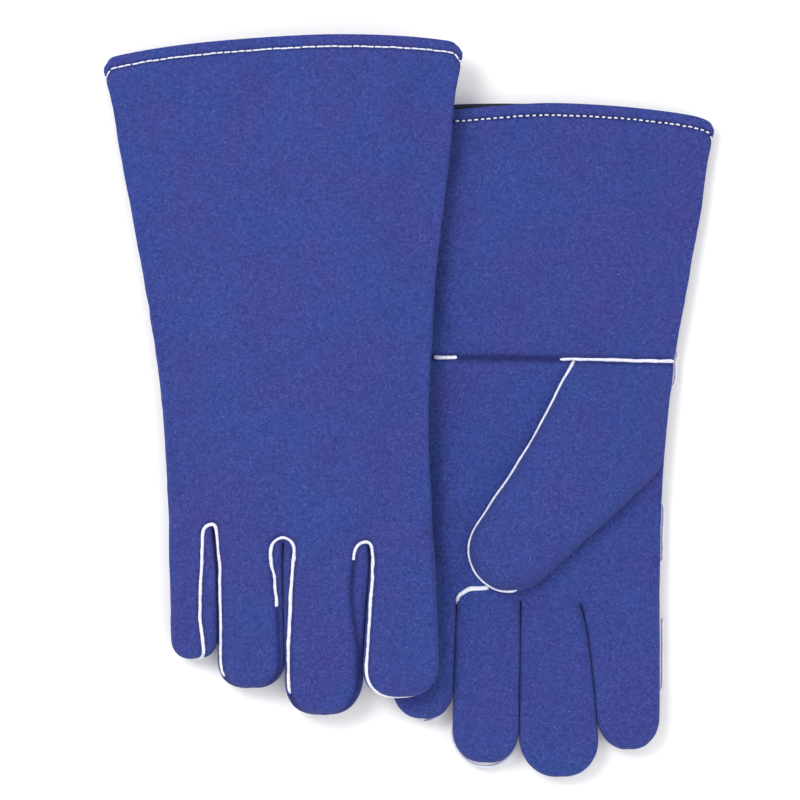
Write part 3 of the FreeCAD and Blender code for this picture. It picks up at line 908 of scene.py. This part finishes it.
def tube(path, normals, wide, tall, rise, sides=10):
    """A strip's points and faces along a path: wide across it, tall off the surface, lifted by rise."""
    count = len(path)
    tangent = unit(np.gradient(path, axis=0))
    across = unit(np.cross(tangent, normals))
    up = np.cross(across, tangent)
    wide, tall, rise = (np.broadcast_to(v, (count,)) for v in (wide, tall, rise))
    rings = []
    for k in range(sides):
        angle = 2 * math.pi * k / sides
        rings.append(path + up * rise[:, None] + across * (math.cos(angle) * wide / 2)[:, None]
                     + up * (math.sin(angle) * tall / 2)[:, None])
    points = np.stack(rings, axis=1).reshape(-1, 3)
    faces = []
    for j in range(count - 1):
        for k in range(sides):
            n = (k + 1) % sides
            faces.append((j * sides + k, j * sides + n, (j + 1) * sides + n, (j + 1) * sides + k))
    faces.append(tuple(range(sides))[::-1])
    faces.append(tuple((count - 1) * sides + k for k in range(sides)))
    return points, faces


def join(parts):
    points, faces, base = [], [], 0
    for some_points, some_faces in parts:
        points.append(some_points)
        faces += [tuple(v + base for v in face) for face in some_faces]
        base += len(some_points)
    return np.concatenate(points), faces


def seam_path(skin, line, step=1.1, rounds=3):
    """A smooth path along a seam's vertices and the skin's normals on it."""
    normals = skin.normals()
    points = skin.points[line]
    path = soften(curve_through(points, max(3, int(run_along(points)[-1] / step))), rounds)
    tree = tree_of(points)
    along = []
    for p in path:
        found = tree.find_n(p, 3)
        along.append(np.mean([normals[line[i]] for _, i, _ in found], axis=0))
    return path, unit(soften(np.array(along), 3))


WELT_WIDE, WELT_TALL = 1.75, 1.6


def finger_sink(glove, finger, proud):
    """How deep a finger's or a side's welt lies at a point: it stands proud only where it shows."""
    def sink(p):
        middle = 0
        if finger in FINGERS:
            i = FINGERS.index(finger)
            middle = sum(finger_edges(glove, p[1])[i:i + 2]) / 2
        shown = 0.0
        for start, end in glove.shown[finger][0 if p[0] < middle else 1]:
            shown = max(shown, float(smooth((start + 3 - p[1]) / 6) * smooth((p[1] - end + 3) / 6)))
        return HIDDEN * (1 - shown) - proud * shown

    return sink


def side_sink(glove):
    """The side welts: along the sides they show in places, and where two fingers part they show all round."""
    sides = finger_sink(glove, "side", 1.7)
    return lambda p: 0.0 if abs(p[0]) < glove.hand_half - 6 else sides(p)


def wrist_sink(p):
    """The wrist welt shows near the little finger's edge and from the thumb's fold to the other edge."""
    near_edge = smooth((-36 - p[0]) / 5) * smooth((p[0] + 53) / 4)
    past_thumb = smooth((p[0] - 12) / 4)
    return HIDDEN * (1 - float(max(near_edge, past_thumb)))


def welt(skin, lines, sink, seed):
    """A rough leather strip along each line. sink gives how deep it lies at each point of the glove."""
    parts = []
    for line in lines:
        path, normals = seam_path(skin, line)
        if len(path) < 4:
            continue
        path[0] += 0.5 * (path[0] - path[1])
        path[-1] += 0.5 * (path[-1] - path[-2])
        deep = np.array([sink(p) for p in path])
        parts.append(rough_strip(path, normals, seed, deep))
    return join(parts)


def rough_strip(path, normals, seed, deep, wide=WELT_WIDE):
    """A hand-cut strip: it wavers to both sides, and its width and height change along it."""
    rough = fractal(path, 2.6, seed)
    slow = fractal(path, 14, seed + 5)
    path = path + side_of(path, normals) * (0.4 * fractal(path, 9, seed + 9))[:, None]
    return tube(path, normals, wide * (1 + 0.22 * rough + 0.2 * slow), WELT_TALL * (1 + 0.15 * rough),
                0.1 + 0.2 * slow - deep)


# ---- materials


def nodes_for(name):
    """A new material, its node tree and its shader."""
    material = bpy.data.materials.new(name)
    material.use_nodes = True
    return material, material.node_tree, material.node_tree.nodes["Principled BSDF"]


def set_inputs(node, values):
    """Sets a node's inputs. A value that is another node's output is linked."""
    for name, value in values.items():
        if hasattr(value, "is_linked"):
            node.id_data.links.new(value, node.inputs[name])
        else:
            node.inputs[name].default_value = value


def new_node(tree, kind, values):
    node = tree.nodes.new(kind)
    set_inputs(node, values)
    return node


def texture(tree, kind, **values):
    """A texture node in the piece's own space, in metres."""
    where = tree.nodes.new("ShaderNodeTexCoord").outputs["Object"]
    return new_node(tree, kind, {**values, "Vector": where})


def noise_texture(tree, scale, detail, rough):
    return texture(tree, "ShaderNodeTexNoise", Scale=scale, Detail=detail, Roughness=rough)


def ramp(tree, source, stops):
    """A colour for each value of the source, between two stops."""
    node = new_node(tree, "ShaderNodeValToRGB", {"Fac": source})
    for element, (place, colour) in zip(node.color_ramp.elements, stops):
        element.position = place
        element.color = (*colour, 1)
    return node.outputs["Color"]


def mix(tree, kind, amount, a, b):
    """Two colours mixed. The amount and the colours are outputs or values."""
    first, second, result = 6, 7, 2   # a mix node's sockets for colours
    node = tree.nodes.new("ShaderNodeMix")
    node.data_type = "RGBA"
    node.blend_type = kind
    set_inputs(node, {"Factor": amount, first: a, second: b})
    return node.outputs[result]


def bump(tree, height, strength, distance, **under):
    """The normal of a bumpy surface. under may give the Normal that the bumps lie on."""
    values = {"Strength": strength, "Distance": distance, "Height": height, **under}
    return new_node(tree, "ShaderNodeBump", values).outputs["Normal"]


def leather_material():
    """Royal blue split leather: a mottled nap with pale fibres, and painted shade along the seams."""
    material, tree, shader = nodes_for("blue_split_leather")
    patches = noise_texture(tree, 28, 2, 0.5).outputs["Fac"]
    mottle = noise_texture(tree, 560, 5, 0.75).outputs["Fac"]
    fibres = noise_texture(tree, 1250, 3, 0.8).outputs["Fac"]
    seam = tree.nodes.new("ShaderNodeAttribute")
    seam.attribute_name = "shade"
    blue = ramp(tree, patches, ((0.32, (0.036, 0.042, 0.214)), (0.68, (0.026, 0.050, 0.232))))
    dark = ramp(tree, mottle, ((0.3, (0.52, 0.52, 0.60)), (0.7, (1.36, 1.34, 1.28))))
    flecks = ramp(tree, fibres, ((0.58, (0, 0, 0)), (0.78, (1, 1, 1))))
    # painted shade: the leather darkens towards the seams, where the creases lie in shadow
    edge = ramp(tree, seam.outputs["Fac"], ((0.3, (1, 1, 1)), (0.85, (0.42, 0.40, 0.5))))
    colour = mix(tree, "MULTIPLY", 1.0, blue, dark)
    colour = mix(tree, "MIX", flecks, colour, (0.20, 0.24, 0.50, 1))
    colour = mix(tree, "MULTIPLY", 1.0, colour, edge)
    nap = bump(tree, mottle, 0.45, 0.0011, Normal=bump(tree, fibres, 0.55, 0.0006))
    set_inputs(shader, {
        "Base Color": colour, "Normal": nap, "Roughness": 0.92, "Specular IOR Level": 0.18,
        "Sheen Weight": 0.12, "Sheen Roughness": 0.5, "Sheen Tint": (0.45, 0.5, 1.0, 1)})
    return material


def welt_material():
    """Natural white leather, fibrous, with some blue dye rubbed into it."""
    material, tree, shader = nodes_for("white_welt_leather")
    fibres = noise_texture(tree, 900, 5, 0.75).outputs["Fac"]
    dye = noise_texture(tree, 240, 2, 0.6).outputs["Fac"]
    white = ramp(tree, fibres, ((0.25, (0.45, 0.44, 0.62)), (0.6, (0.80, 0.80, 0.90))))
    stain = ramp(tree, dye, ((0.58, (0, 0, 0)), (0.78, (0.5, 0.5, 0.5))))
    colour = mix(tree, "MIX", stain, white, (0.40, 0.43, 0.72, 1))
    set_inputs(shader, {"Base Color": colour, "Normal": bump(tree, fibres, 0.6, 0.0005),
                        "Roughness": 0.85, "Specular IOR Level": 0.25})
    return material


def thread_material():
    """White sewing thread: twisted plies show as fine slanted ridges."""
    material, tree, shader = nodes_for("white_thread")
    wave = texture(tree, "ShaderNodeTexWave", Scale=900, Distortion=1.5)
    wave.bands_direction = "DIAGONAL"
    plies = wave.outputs["Fac"]
    colour = ramp(tree, plies, ((0.2, (0.62, 0.63, 0.78)), (0.7, (0.84, 0.85, 0.96))))
    set_inputs(shader, {"Base Color": colour, "Normal": bump(tree, plies, 0.5, 0.0003), "Roughness": 0.7})
    return material


def cloth_material(name, light, dark, scale):
    """Lining cloth: fleece or duck, with its weave."""
    material, tree, shader = nodes_for(name)
    weave = texture(tree, "ShaderNodeTexWave", Scale=scale, Distortion=2.0)
    pile = noise_texture(tree, scale * 1.5, 4, 0.7)
    both = mix(tree, "MIX", 0.6, weave.outputs["Color"], pile.outputs["Color"])
    colour = ramp(tree, both, ((0.3, dark), (0.7, light)))
    set_inputs(shader, {"Base Color": colour, "Normal": bump(tree, both, 0.5, 0.0006),
                        "Roughness": 0.95, "Sheen Weight": 0.2})
    return material


MATERIALS = {
    "blue_leather": leather_material(),
    "white_welt": welt_material(),
    "white_thread": thread_material(),
    "fleece_lining": cloth_material("fleece", (0.74, 0.70, 0.62), (0.52, 0.48, 0.41), 700),
    "canvas_lining": cloth_material("dark_duck", (0.035, 0.04, 0.075), (0.014, 0.016, 0.035), 500),
}


# ---- assembling

FLEECE = dict(outer=LEATHER + 0.3, inner=LEATHER + 1.3)   # the depths between which a fleece lining lies
THUMB_FLEECE = dict(outer=LEATHER + 0.3, inner=LEATHER + 1.2)
CANVAS = dict(outer=2 * LEATHER + 0.1, inner=2 * LEATHER + 0.9)


def finish_piece(glove, part, obj, slot, bend=None):
    """Gives a piece its material, hides its CAD node if it has one, and puts it on the hand's body; with bend
    it is baked in place instead.
    """
    node = f"{glove.name}_{part}"
    obj.data.materials.append(MATERIALS[slot])
    if node in frame["nodes"]:
        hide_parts(node)
    if bend:
        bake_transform(obj)
    else:
        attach(obj, f"{glove.name}_hand")


def add_leather(skin, part, bend=None):
    """The panel with this label, as a sheet of leather."""
    piece = cut_piece(skin, part, {part})
    finish_piece(skin.glove, part, piece, "blue_leather", bend)


def add_lining(skin, part, labels, depths, slot="fleece_lining", bend=None, keep=None):
    finish_piece(skin.glove, part, cut_piece(skin, part, labels, **depths, keep=keep), slot, bend)


def add_strip(glove, part, shape, slot="white_welt", bend=None):
    """A welt or a seam's thread, from its points and faces."""
    finish_piece(glove, part, make_object(glove, part, *shape), slot, bend)


def finger_bend(glove, finger):
    body = f"{glove.name}_{finger}"
    if body not in frame["bodies"]:
        return None
    low, high = glove.box(finger + "_back")
    start, end = (glove.matrix @ (Vector(((low.x + high.x) / 2, glove.knuckle - past, 8)) * MM)
                  for past in (8, 26))
    return f"{glove.name}_hand", body, start, end


def add_fingers(glove, skin):
    for number, finger in enumerate(FINGERS):
        bend = finger_bend(glove, finger)
        back, front = finger + "_back", finger + "_front"
        for part in (back, front):
            add_leather(skin, part, bend)
        add_lining(skin, finger + "_lining", {back, front}, FLEECE, bend=bend)
        sink = finger_sink(glove, finger, glove.proud.get(finger, 0.0))
        strip = welt(skin, skin.borders({back}, {front}), sink, number + 1)
        add_strip(glove, finger + "_welt", strip, bend=bend)


def add_hand(glove, skin, wrist, hem):
    for part in ("back_panel", "palm_panel", "cuff_front"):
        add_leather(skin, part)
    folded = cut_piece(skin, "cuff_hem", {"cuff_hem"}, -0.25, 2 * LEATHER)
    rounding = folded.modifiers.new("Rounded fold", "SUBSURF")
    rounding.levels = rounding.render_levels = 1
    finish_piece(glove, "cuff_hem", folded, "blue_leather")
    add_lining(skin, "hand_lining", {"palm_panel", "back_panel"}, FLEECE)
    add_lining(skin, "cuff_lining", {"cuff_hem", "cuff_front"}, CANVAS, "canvas_lining")
    sides = skin.borders({"back_panel"}, {"palm_panel", "cuff_front"})
    add_strip(glove, "side_welts", welt(skin, sides, side_sink(glove), 8))
    add_strip(glove, "wrist_welt", welt(skin, wrist, wrist_sink, 9))
    add_strip(glove, "hem_thread", stitches(skin, hem), "white_thread")


def stitches(skin, lines):
    """Each stitch is a short thread that comes up out of the leather and goes down again."""
    parts = []
    draw = random.Random(5 if skin.glove.back_up else 6)
    pitch, gap = (3.8, 0.12) if skin.glove.back_up else (3.3, 1.15)
    wide, tall, rings = 0.85, 0.7, 9
    arch = np.sin(np.linspace(0.0, math.pi, rings)) ** 0.5 * 0.8 - 0.35
    for line in lines:
        path, normals = seam_path(skin, line, 0.3, 6)
        run = run_along(path)
        at = 0.0
        while at + pitch < run[-1]:
            length = pitch - gap + draw.uniform(-0.4, 0.3)
            places = np.linspace(at, at + length, rings)
            centre, up = points_at(path, run, places), points_at(normals, run, places)
            centre = centre + side_of(centre, up) * draw.uniform(-0.12, 0.12)
            parts.append(tube(centre, up, wide, tall, arch, 8))
            at += pitch + draw.uniform(-0.15, 0.15)
    return join(parts)


def add_base_welt(glove, skin):
    """The short welt across the base of the ring finger on the palm, which rides on the hand."""
    palm = surface_of(skin)
    gap, root = glove.gaps[0][0], glove.knuckle
    corners = [(gap - 0.5, root - 1), (gap + 0.6, root + 3.2), (gap + 6, root + 6.6), (gap + 16, root + 7.6)]
    plan = soften(curve_through(corners, 30), 6)
    path = np.array([(x, y, palm_height(palm, x, y)) for x, y in plan])
    normals = np.tile([0.0, 0.0, -1.0], (len(path), 1))
    add_strip(glove, "base_welt", rough_strip(path, normals, 33, np.full(len(path), -0.2), 2.0))


def add_thumb(glove, palm_skin):
    skin = Skin(glove, build_thumb(glove, surface_of(palm_skin)))
    wrinkle(skin, 21 if glove.back_up else 22, False)
    skin.keep_above_bench(0.00015)
    first, second, fold = thumb_rails(glove)
    edge_line = free_edge(first, second, fold)
    high, low = first[fold], second[fold]
    along = (low - high) / np.linalg.norm(low - high)
    outward = np.array([along[1], -along[0]])
    middle = (high + low) / 2
    start, end = (glove.matrix @ (Vector((*(middle + outward * past), -6)) * MM) for past in (0, 20))
    bend = (f"{glove.name}_hand", f"{glove.name}_thumb", start, end)

    def inside(p):
        return (p[:2] - high) @ outward > 4 and distance_to(edge_line, p[0], p[1]) > 3.4

    add_leather(skin, "thumb_wing")
    for part in ("thumb_front", "thumb_back"):
        add_leather(skin, part, bend)
    add_lining(skin, "thumb_lining", {"thumb_front", "thumb_back"}, THUMB_FLEECE, bend=bend, keep=inside)
    add_strip(glove, "thumb_welt", thumb_welt(skin, first[fold:], second[-7:]), bend=bend)


def thumb_welt(skin, rail, rest):
    """The welt round the thumb's free edge, on the shoulder of the pillow."""
    plan = np.concatenate([[rail[0] + (0.3, 1.6)], rail[1:], rest[::-1][1:]])
    surface = surface_of(skin)
    path, normals = [], []
    for x, y in soften(curve_through(plan, 160), 4):
        where, normal, _, _ = surface.find_nearest(Vector((x, y, -6.0)))
        path.append(tuple(where))
        normals.append(tuple(normal))
    path, normals = soften(np.array(path), 6), soften(np.array(normals), 6)
    to_wrist = path[0] - path[1]
    to_wrist *= 3.2 / np.linalg.norm(to_wrist)
    path = np.vstack([path[0] + to_wrist, path])
    normals = unit(np.vstack([normals[0], normals]))
    past_tip = HIDDEN * smooth((path[:, 0] + 8) / 6) * (path[:, 1] < -90)
    return rough_strip(path, normals, 31, past_tip)


def build_glove(glove):
    shell = Shell()
    build_fingers(glove, shell, build_hand(glove, shell))
    skin = Skin(glove, shell)
    wrinkle(skin, 1 if glove.back_up else 2)
    backs, fronts = {f + "_back" for f in FINGERS}, {f + "_front" for f in FINGERS}
    seams = skin.borders(backs | {"back_panel"}, fronts | {"palm_panel", "cuff_front"})
    wrist = skin.borders({"cuff_front"}, {"palm_panel"})
    hem = skin.borders({"cuff_hem"}, {"back_panel", "cuff_front"})
    even_knuckles(skin, seams)
    puff(skin, seams + wrist + hem)
    for lines, depth, reach in ((seams, 0.5, 2.6), (wrist, 0.9, 3.0), (hem, 0.55, 1.8)):
        pull_in(skin, lines, depth, reach)
    if glove.back_up:
        drape(skin)
    skin.keep_above_bench(0.0005)
    add_hand(glove, skin, wrist, hem)
    add_fingers(glove, skin)
    add_base_welt(glove, skin)
    add_thumb(glove, skin)


# ---- the stage


def add_floor():
    size = 3.0
    mesh = bpy.data.meshes.new("floor")
    corners = [(-size, -size, 0), (size, -size, 0), (size, size, 0), (-size, size, 0)]
    mesh.from_pydata(corners, [], [(0, 1, 2, 3)])
    floor = new_object("floor", mesh)
    material, _, shader = nodes_for("floor_white")
    set_inputs(shader, {"Base Color": (0.9, 0.9, 0.9, 1), "Roughness": 0.9, "Specular IOR Level": 0.1})
    mesh.materials.append(material)


def add_light(name, power, size, place):
    """An area light that points at the middle of the gloves."""
    light = bpy.data.lights.new(name, "AREA")
    light.energy = power
    light.size = size
    obj = new_object(name, light)
    obj.location = place
    obj.rotation_euler = (-Vector(place)).to_track_quat("-Z", "Y").to_euler()


def add_world(brightness):
    world = bpy.data.worlds.new("studio")
    world.use_nodes = True
    set_inputs(world.node_tree.nodes["Background"], {"Color": (1, 1, 1, 1), "Strength": brightness})
    bpy.context.scene.world = world


def add_camera(centre, view_width):
    camera = bpy.data.cameras.new("camera")
    camera.lens = 200
    camera.sensor_width = 36
    camera.clip_end = 20
    distance = view_width / 2 / (camera.sensor_width / 2 / camera.lens)
    obj = new_object("camera", camera)
    obj.location = (*centre, distance)
    bpy.context.scene.camera = obj


build_glove(Glove("right", True, RIGHT))
build_glove(Glove("left", False, LEFT))
add_floor()
add_world(0.92)
add_light("key", 18, 0.8, (-0.8, 0.7, 1.6))
add_light("fill", 9, 1.5, (0.8, -0.6, 1.6))
bpy.context.scene.view_settings.view_transform = "Standard"
add_camera((-0.0045, 0.004), 0.4184)
